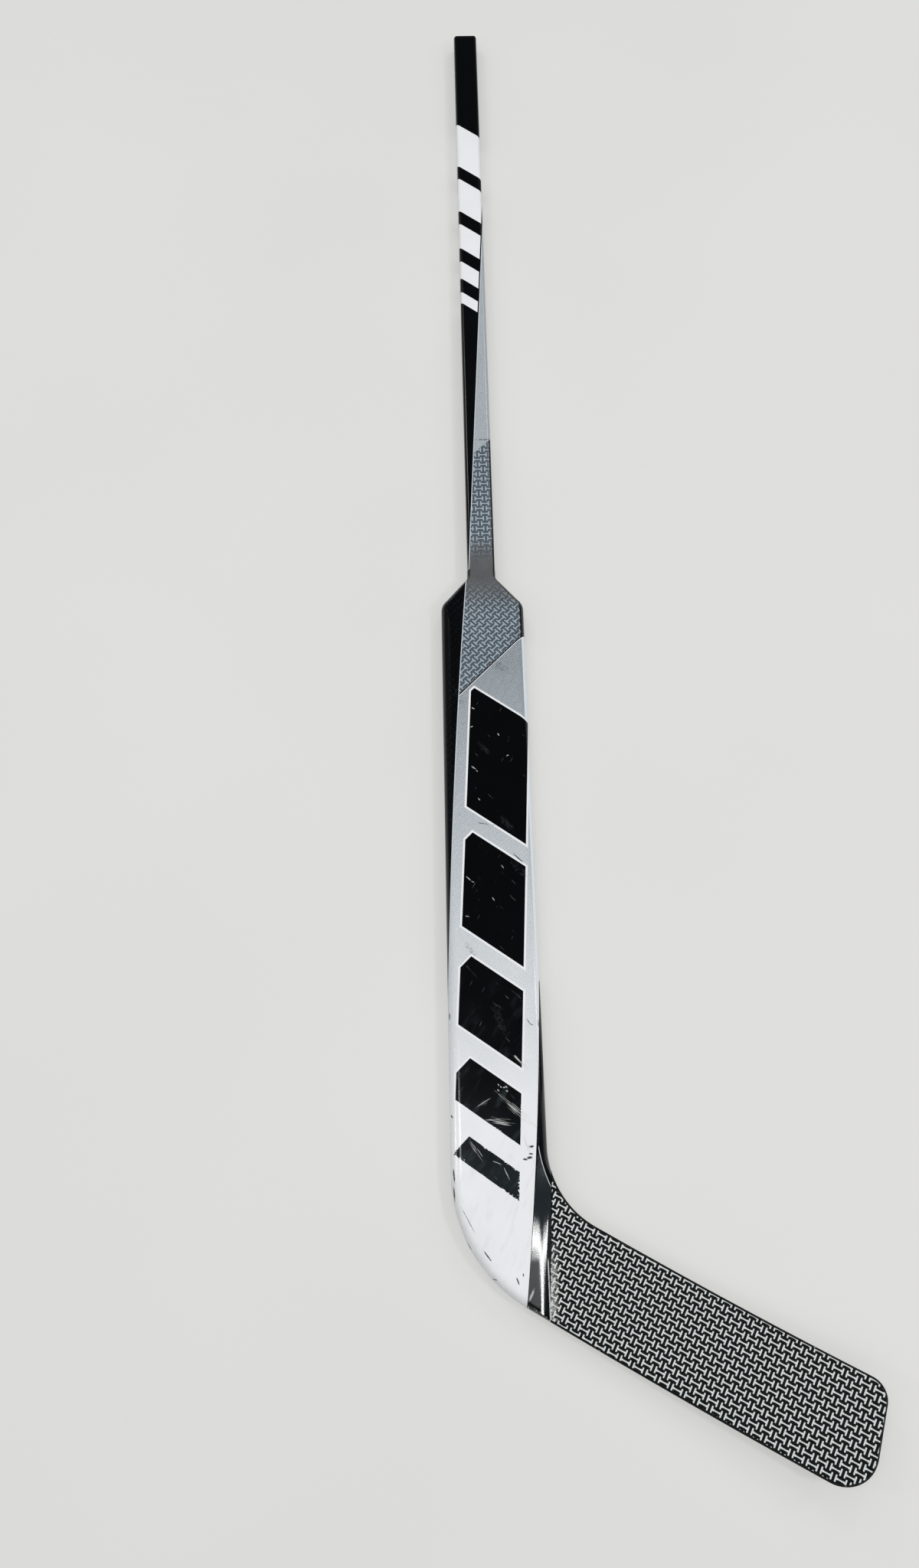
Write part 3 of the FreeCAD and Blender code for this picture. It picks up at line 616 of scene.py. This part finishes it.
def paddle_paint(name, worn):
    """The paddle's lacquer over its printed graphics, with the marks of play and a painted shade on its
    rounded edges where it is worn.
    """
    finish = Finish(name)
    x, y = finish.x, finish.y
    wedge = x - (WEDGE_AT_MIDDLE + y * WEDGE_LEAN + y * y * WEDGE_CURL)
    grip = (y - x - GRIP_END) * DIAGONAL
    share = (HATCH_LEAST + (y - HATCH_CLEAR_Y) * HATCH_GAIN).most(0).least(HATCH_MOST)
    lines = hatch(finish, share, PADDLE_FACE_Z) * share.rise(0, HATCH_FADE)
    lines = lines * (x - BORDER_X).inside(BORDER_SOFT)
    blocks = slanted_blocks(finish, **PADDLE_BLOCKS)
    weave = bar_weave(finish, *PADDLE_WEAVE)
    below_hem = HEM_Y - y
    hem = x - (HEM_X - below_hem * HEM_LEAN - below_hem * below_hem * HEM_CURL)
    clouds = finish.noise(*LACQUER_CLOUDS)
    white = finish.mix(clouds, DULL_WHITE, WHITE)
    ragged = finish.noise(*RAGS)
    low = y.rise(*WORN_Y)
    if worn:
        torn = finish.patches(*TEARS) * low
        blocks = blocks + (ragged - TEAR_START).rise(0, TEAR_SOFT) * torn * TEAR_DEPTH
    haze = low * LOW_HAZE * clouds + y.rise(*STREAK_HAZE_Y) * finish.patches(*HAZE_STREAKS) * STREAK_HAZE
    ink = finish.mix(haze, INK, HAZED_INK)
    colour = finish.mix(lines, finish.mix(share, white, COOL_WHITE), HATCH_INK)
    colour = finish.mix((blocks - BLOCK_RIM).inside(), colour, white)
    colour = finish.mix(blocks.inside(), colour, ink)
    colour = finish.mix((-1 * grip).inside(), colour, grip_colour(finish, weave, y.rise(*GRIP_FADE)))
    colour = finish.mix((abs(grip + GRIP_LINE_BACK) - GRIP_LINE_HALF).inside(), colour, WHITE)
    colour = finish.mix((abs(grip) - GRIP_EDGE_HALF).inside(), colour, INK)
    side = finish.tipped(*PADDLE_SIDE)
    colour = finish.mix(side * grip.rise(-GRIP_SOFT, GRIP_SOFT), colour, INK)
    colour = finish.mix((-1 * hem).inside() * below_hem.rise(-HEM_SOFT, HEM_SOFT), colour, INK)
    colour = finish.mix((abs(wedge - KEYLINE / 2) - KEYLINE / 2).inside(), colour, KEYLINE_GREY)
    under = (-1 * weave).rise(-GRIP_SOFT, GRIP_SOFT) * finish.patches(*WEDGE_PATCHES)
    colour = finish.mix(wedge.inside(), colour, finish.mix(under, INK, WEAVE_INK))
    steep, shallow = [hairlines(finish, *scratch) for scratch in SCRATCHES]
    fine = steep.most(shallow)
    peel = finish.noise(*LACQUER_PEEL)
    roughness = PADDLE_ROUGH + CLOUDS_ROUGHEN * clouds + SCRATCHES_ROUGHEN * fine
    if worn:
        dark = marks(finish, SCUFFS, ragged) * (blocks - CLEAR_OF_BLOCK).rise(0, CLEAR_SOFT)
        pale = marks(finish, NICKS, ragged).most(scrapes(finish, SCRAPES) * (hem + HEM_MARGIN).inside())
        stain = marks(finish, STAINS, finish.noise(*STAIN_RAGS)) * finish.patches(*STAIN_PATCHES)
        colour = finish.mix(stain * STAIN_STRENGTH, colour, STAIN)
        colour = finish.mix(dark * SCUFF_STRENGTH, colour, SCUFF)
        colour = finish.mix(pale * PALE_STRENGTH, colour, SCRAPE)
        colour = finish.mix(fine * blocks.inside() * SCRATCH_STRENGTH, colour, SCRAPE)
        # Painted shade: low on the paddle the rounded edges turn grey in patches, as the shade on them. The
        # streaks are grime.
        rounded_shade = finish.facing.rise(*ROUNDED_EDGE) * ROUNDED_SHADE
        streaks = finish.patches(*GRIME_STREAKS) * STREAK_GRIME
        grime_and_shade = (streaks + rounded_shade * finish.patches(*ROUNDED_SHADE_PATCHES)) * low
        colour = finish.mix(grime_and_shade * (blocks - CLEAR_OF_BLOCK).rise(0, CLEAR_SOFT), colour, GRIME_AND_SHADE)
        roughness = roughness + WEAR_ROUGHENS * dark + WEAR_ROUGHENS * pale + WEAR_ROUGHENS * grime_and_shade
    return finish.done(colour, roughness, peel, PADDLE_PEEL)


def shaft_paint(name):
    """The shaft's lacquer over its printed graphics."""
    finish = Finish(name)
    x, y = finish.x, finish.y
    wedge = x - (SHAFT_WEDGE_AT_MIDDLE + y * SHAFT_WEDGE_LEAN)
    seam = abs(y - SEAM_Y) - SEAM_HALF
    grip = (y - x - SHAFT_GRIP_Y) * DIAGONAL
    weave = bar_weave(finish, *SHAFT_WEAVE)
    blocks = slanted_blocks(finish, **SHAFT_BLOCKS)
    clouds = finish.noise(*LACQUER_CLOUDS)
    white = finish.mix(clouds, DULL_WHITE, WHITE)
    lines = hatch(finish, SHAFT_HATCH, SHAFT_FACE_Z)
    colour = finish.mix(lines, finish.mix(SHAFT_HATCH, white, COOL_WHITE), HATCH_INK)
    colour = finish.mix(grip.inside(), colour, grip_colour(finish, weave, y.rise(*SHAFT_GRIP_FADE)))
    side = finish.tipped(*SHAFT_SIDE)
    colour = finish.mix(side * grip.inside(), colour, INK)
    colour = finish.mix(seam.inside() * finish.patches(*SEAM_PATCHES), colour, INK)
    colour = finish.mix((abs(wedge - KEYLINE / 2) - KEYLINE / 2).inside(), colour, KEYLINE_GREY)
    colour = finish.mix(wedge.inside(), colour, INK)
    colour = finish.mix(blocks.inside() * (wedge + SHAFT_BLOCK_MARGIN).inside(), colour, white)
    peel = finish.noise(*LACQUER_PEEL)
    roughness = SHAFT_ROUGH + CLOUDS_ROUGHEN * clouds
    return finish.done(colour, roughness, peel, SHAFT_PEEL)


def blade_weave(name):
    """The blade's woven skin, with a painted sheen beside the heel, a painted shadow along the heel's step
    and a chipped black rim.
    """
    finish = Finish(name)
    x, y = finish.x, finish.y
    ahead, down = math.cos(BLADE_FALL), math.sin(BLADE_FALL)
    centre_x = BLADE_CORNER[0] + BLADE_WEAVE_ALONG * ahead + BLADE_WEAVE_UP * down
    centre_y = BLADE_CORNER[1] - BLADE_WEAVE_ALONG * down + BLADE_WEAVE_UP * ahead
    turn = BLADE_WEAVE_TURN - math.degrees(BLADE_FALL)
    weave = bar_weave(finish, (centre_x, centre_y), turn, BLADE_CELL)
    clouds = finish.noise(*BLADE_CLOUDS)
    threads = finish.noise(*BLADE_THREADS)
    ground = finish.mix(clouds, *BLADE_GROUND)
    bars = finish.mix(clouds * CLOUD_SHARE + threads * (1 - CLOUD_SHARE), *BLADE_BARS)
    colour = finish.mix(weave.inside(BLADE_BAR_SOFT), ground, bars)
    from_step = x - STEP_TOP[0] + (STEP_TOP[1] - y) * STEP_LEAN
    # Painted sheen: a pale patch beside the heel's step stands for the lamp's reflection on the blade there.
    rubbed = from_step.rise(*BLADE_SHEEN_ACROSS) * y.rise(*BLADE_SHEEN_Y) * finish.patches(*SHEEN_PATCHES)
    colour = finish.mix(rubbed * BLADE_SHEEN_STRENGTH, colour, BLADE_PAINTED_SHEEN)
    # Painted shadow: a dark line on the blade along the heel's step stands for the step's shadow and also
    # reads as a seam.
    seam = from_step.rise(*BLADE_SEAM_SHADOW_ACROSS) * y.rise(*BLADE_SEAM_SHADOW_Y)
    colour = finish.mix(seam, colour, INK)
    chips = finish.patches(*RIM_CHIPS)
    rim = finish.mix(chips * RIM_CHIP_STRENGTH, INK, RIM_CHIP)
    colour = finish.mix(finish.tipped(*BLADE_RIM), colour, rim)
    roughness = BLADE_ROUGH + THREADS_ROUGHEN * threads
    height = weave.inside(BAR_ROUND) + threads * THREAD_HEIGHT
    return finish.done(colour, roughness, height, BLADE_RELIEF, BLADE_SHINE)


def twill(name):
    """The black twill on the ramp of the heel, under thick lacquer, with its relief, lines and chips; the
    pale lines along its step are painted highlight and wear.
    """
    finish = Finish(name)
    x, y = finish.x, finish.y
    lay = y * math.cos(TWILL_LAY) - x * math.sin(TWILL_LAY)
    ribs = abs(lay.wrapped(TWILL_PITCH)) * (2 / TWILL_PITCH)
    crease = CREASE_TOP[0] - (CREASE_TOP[1] - y) * CREASE_LEAN
    step = STEP_TOP[0] - (STEP_TOP[1] - y) * STEP_LEAN
    down = (x - crease) / (step - crease)
    below = y - VALLEY_AT[1]
    from_valley = x - (VALLEY_AT[0] + below * VALLEY_LEAN)
    tilt = VALLEY_TILT + (VALLEY_DEEPENS_BELOW - below).most(0) * VALLEY_DEEPENING
    valley = finish.math("TANH", from_valley / VALLEY_HALF) * VALLEY_HALF * tilt
    bank = (BANK_TILT - below * BANK_TWIST) * (x - BANK_X) + (BANK_FALL + below * BANK_BEND) * below
    hollow = ((down - HOLLOW_AT) / (1 - HOLLOW_AT)).most(0).least(1)
    form = (bank - valley + hollow * hollow * hollow * (1 - hollow * 0.5)) * y.rise(*RELIEF_Y)
    drop = PLY_TOP[1] - y
    ply = x - (PLY_TOP[0] + drop * PLY_LEAN + drop * drop * PLY_CURL)
    woven = ply.inside(PLY_SOFT) * drop.rise(-PLY_TOP_SOFT, PLY_TOP_SOFT)
    across_edge = (x - BLADE_CORNER[0]) * math.sin(BLADE_FALL)
    above_edge = across_edge + (y - BLADE_CORNER[1]) * math.cos(BLADE_FALL)
    clouds = finish.noise(*TWILL_CLOUDS)
    ragged = finish.noise(*RAGS)
    smooth = down.rise(*SMOOTH_DOWN) * y.rise(*SMOOTH_Y)
    shown = woven * (1 - smooth * SMOOTH_STRENGTH) * above_edge.rise(*HEEL_EDGE)
    colour = finish.mix(ribs.rise(*RIB_TOP) * shown, TWILL_BLACK, TWILL_RIB)
    # Painted highlights: pale lines along the ply's edge and the ramp's foot stand for the lamp's glint on
    # the step, and also read as worn edges.
    ply_wear_glint = (abs(ply) - PLY_WEAR_GLINT_HALF).inside() * drop.rise(*PLY_WEAR_GLINT_STARTS) * drop.rise(*PLY_WEAR_GLINT_ENDS)
    foot = (abs(x - FOOT_WEAR_GLINT_X) - FOOT_WEAR_GLINT_HALF).inside() * y.rise(*FOOT_WEAR_GLINT_Y)
    foot = foot * ragged.rise(*FOOT_WEAR_GLINT_BREAKS)
    chips = above_edge.rise(*CHIPPED_EDGE) * finish.patches(*EDGE_CHIPS)
    rubbed = from_valley.rise(*RUBBED_ACROSS) * y.rise(*RUBBED_Y) * above_edge.rise(*RUBBED_ABOVE_EDGE)
    colour = finish.mix(rubbed * (RUBBED_GROUND + RUBBED_RIBS * ribs), colour, TWILL_RUBBED)
    scraped = marks(finish, TWILL_SCRAPES, ragged)
    pale = ply_wear_glint.most(foot).most(chips).most(scraped * TWILL_SCRAPE_STRENGTH)
    colour = finish.mix(pale * CHIP_STRENGTH, colour, TWILL_CHIP_AND_GLINT)
    height = ribs * woven * down.rise(*RIBS_LEVEL) * RIB_HEIGHT + form - ply.most(0) * PLY_STEP
    roughness = TWILL_ROUGH + TWILL_CLOUDS_ROUGHEN * clouds + WEAR_ROUGHENS * rubbed
    return finish.done(colour, roughness, height, depth=1)


def grained(name, colours, clouds, grain, rough, depth):
    """A plain finish with clouded colour and roughness and a fine grain."""
    finish = Finish(name)
    cloudy = finish.noise(*clouds)
    colour = finish.mix(cloudy, *colours)
    roughness = rough[0] + (rough[1] - rough[0]) * cloudy
    return finish.done(colour, roughness, finish.noise(*grain), depth)


FINISHES = {
    "black_plastic": grained(
        "moulded_black", PLASTIC, PLASTIC_CLOUDS, PLASTIC_GRAIN, PLASTIC_ROUGH, PLASTIC_DEPTH,
    ),
    "shaft_paint": shaft_paint("shaft_lacquer"),
    "paddle_paint": paddle_paint("paddle_lacquer", worn=False),
    "twill_wrap": twill("black_twill"),
    "woven_skin": blade_weave("blade_weave"),
    "blade_edge": blade_weave("blade_rim_weave"),
    "foam": grained("core_foam", FOAM, FOAM_CELLS, FOAM_CELLS, FOAM_ROUGH, FOAM_DEPTH),
    "wood": grained("core_wood", WOOD, WOOD_GRAIN, WOOD_GRAIN, WOOD_ROUGH, WOOD_DEPTH),
}
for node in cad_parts.values():
    for holder in node.material_slots:
        holder.material = FINISHES[holder.material.name]
worn_paddle = paddle_paint("paddle_lacquer_worn", worn=True)
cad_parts["paddle_front_shell"].material_slots[0].material = worn_paddle


def lay_floor():
    """A pale table that fades out far from the stick."""
    bpy.ops.object.select_all(action="DESELECT")
    bpy.ops.mesh.primitive_plane_add(size=FLOOR_SIZE, location=(0, 0, 0))
    floor = bpy.context.object
    floor.name = "floor"
    finish = Finish("pale_table")
    clouds = finish.noise(*FLOOR_CLOUDS)
    colour = finish.mix(clouds, *FLOOR)
    roughness = FLOOR_ROUGH + FLOOR_CLOUDS_ROUGHEN * clouds
    finish.done(colour, roughness, finish.noise(*FLOOR_GRAIN), FLOOR_GRAIN_DEPTH)
    east, north, _ = finish.parts(finish.local(FLOOR_MIDDLE))
    near = finish.length(east, north).rise(*FLOOR_FADE)
    finish.put(finish.shader.inputs["Alpha"], near)
    glow = finish.node("ShaderNodeEmission")
    finish.put(glow.inputs["Color"], colour)
    seen = Field(finish, finish.node("ShaderNodeLightPath").outputs["Is Camera Ray"])
    surface = finish.node("ShaderNodeMixShader")
    finish.put(surface.inputs[0], seen * near * FLOOR_GLOW)
    finish.put(surface.inputs[1], finish.shader.outputs[0])
    finish.put(surface.inputs[2], glow.outputs[0])
    finish.put(finish.tree.nodes["Material Output"].inputs["Surface"], surface.outputs[0])
    floor.data.materials.append(finish.material)


def hang_lamp(name, place, aim, width, length, power):
    lamp = bpy.data.lights.new(name, "AREA")
    lamp.shape = "RECTANGLE"
    lamp.size = width
    lamp.size_y = length
    lamp.energy = power
    holder = bpy.data.objects.new(name, lamp)
    holder.location = place
    holder.rotation_euler = (Vector(aim) - Vector(place)).to_track_quat("-Z", "Y").to_euler()
    bpy.context.scene.collection.objects.link(holder)


def set_camera():
    """The camera of the photograph, which looks down on the stick from above the heel."""
    camera = bpy.data.cameras.new("camera")
    camera.sensor_width = SENSOR
    camera.lens = SENSOR * FOCAL_LENGTH / PICTURE_HEIGHT
    camera.clip_start = NEAREST
    holder = bpy.data.objects.new("camera", camera)
    ahead = Vector((math.sin(CAMERA_ROLL), math.cos(CAMERA_ROLL), 0))
    right = Vector((math.cos(CAMERA_ROLL), -math.sin(CAMERA_ROLL), 0))
    up = ahead * math.cos(CAMERA_TILT) + Vector((0, 0, math.sin(CAMERA_TILT)))
    back = right.cross(up)
    turn = Matrix((right, up, back)).transposed().to_4x4()
    holder.matrix_world = Matrix.Translation(Vector(CAMERA_AT) * MM) @ turn
    bpy.context.scene.collection.objects.link(holder)
    bpy.context.scene.camera = holder


def light_room():
    """A pale room with a dim ceiling ahead and overhead, and lamps on both sides."""
    world = bpy.data.worlds.new("room")
    bpy.context.scene.world = world
    world.use_nodes = True
    graph = Graph(world.node_tree)
    background = graph.tree.nodes["Background"]
    spot = graph.node("ShaderNodeTexCoord")
    east, north, up = graph.parts(spot.outputs["Generated"])
    dim = east.rise(*DIM_EAST) * north.rise(*DIM_NORTH) * up.rise(*DIM_UP)
    low = up.rise(*LOW_BAND_UP) * east.rise(*LOW_BAND_EAST)
    seen = Field(graph, graph.node("ShaderNodeLightPath").outputs["Is Camera Ray"])
    strength = (ROOM_TONE + LOW_BAND * low - dim * DIMMED).most(seen * BACKDROP)
    graph.put(background.inputs["Strength"], strength)
    background.inputs["Color"].default_value = (1, 1, 1, 1)
    ceiling = bpy.data.lights.new("ceiling", "SUN")
    ceiling.energy = CEILING_POWER
    ceiling.angle = CEILING_SPREAD
    holder = bpy.data.objects.new("ceiling", ceiling)
    holder.visible_glossy = False
    bpy.context.scene.collection.objects.link(holder)
    for lamp in LAMPS:
        hang_lamp(*lamp)


lay_floor()
set_camera()
light_room()
bpy.context.scene.view_settings.view_transform = "Standard"
